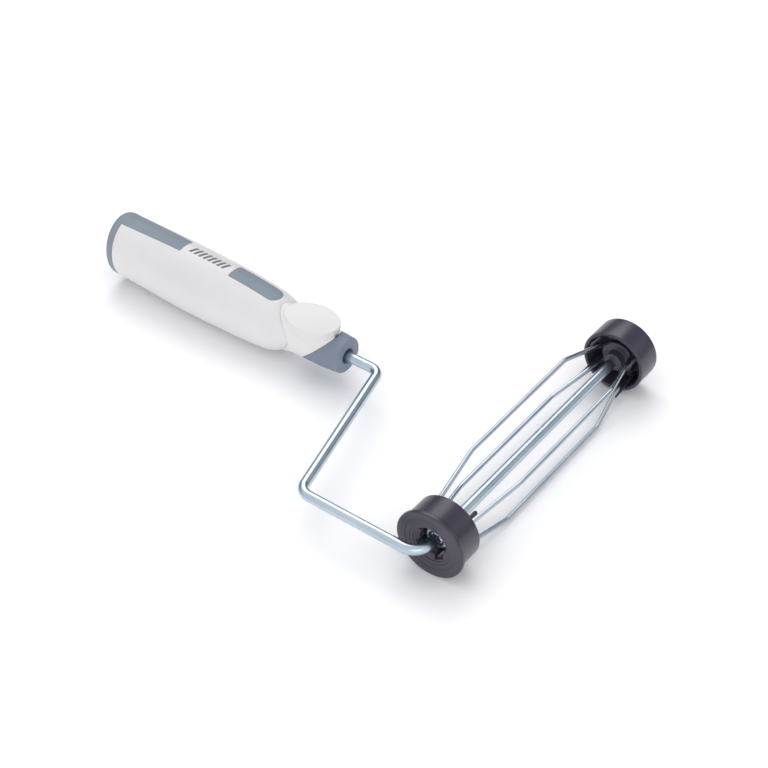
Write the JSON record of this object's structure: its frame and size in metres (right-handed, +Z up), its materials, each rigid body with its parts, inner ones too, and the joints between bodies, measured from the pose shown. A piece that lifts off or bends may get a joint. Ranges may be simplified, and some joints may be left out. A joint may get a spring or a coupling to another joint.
{
  "type": "paint roller frame",
  "caption": "Paint roller frame: sprung wire cage between two end caps, turning on a bent steel rod set in a two-colour moulded handle with a threaded pole socket.",
  "frame": {"origin": "centre of the base of the bounding box: the plane z = 0 is the surface that the near cap's flange rests on", "axes": "+Y along the cage's axle, from the crank towards the free end of the cage; -X along the handle, towards its butt; +Z up, square to the plane of the bent rod"},
  "size_m": [0.3628, 0.2372, 0.052],
  "materials": {
    "zinc_rod": "bright zinc plate",
    "core_plastic": "moulded",
    "white_plastic": "satin",
    "thumb_plastic": "satin",
    "grip_rubber": "soft satin",
    "nose_rubber": "soft satin",
    "socket_plastic": "moulded",
    "zinc_hardware": "bright zinc plate",
    "cap_plastic": "gloss",
    "bush_nylon": "dark nylon",
    "spring_wire": "bright zinc plate"
  },
  "bodies": {
    "frame": {"rod": "zinc_rod", "handle_core": "core_plastic", "handle_shell": "white_plastic", "thumb_rest": "thumb_plastic", "grip_front": "grip_rubber", "grip_rear": "grip_rubber", "nose_collar": "nose_rubber", "pole_socket": "socket_plastic", "near_washer": "zinc_hardware", "near_push_nut": "zinc_hardware", "far_washer": "zinc_hardware", "far_push_nut": "zinc_hardware"},
    "cage": {"near_cap": "cap_plastic", "far_cap": "cap_plastic", "near_bush": "bush_nylon", "far_bush": "bush_nylon", "wire_1": "spring_wire", "wire_2": "spring_wire", "wire_3": "spring_wire", "wire_4": "spring_wire"}
  },
  "joints": [
    {"name": "cage_spin", "type": "hinge", "parent": "frame", "child": "cage", "pos_m": [0.1576, 0, 0.0238], "axis": [0, 1, 0], "continuous": true}
  ]
}
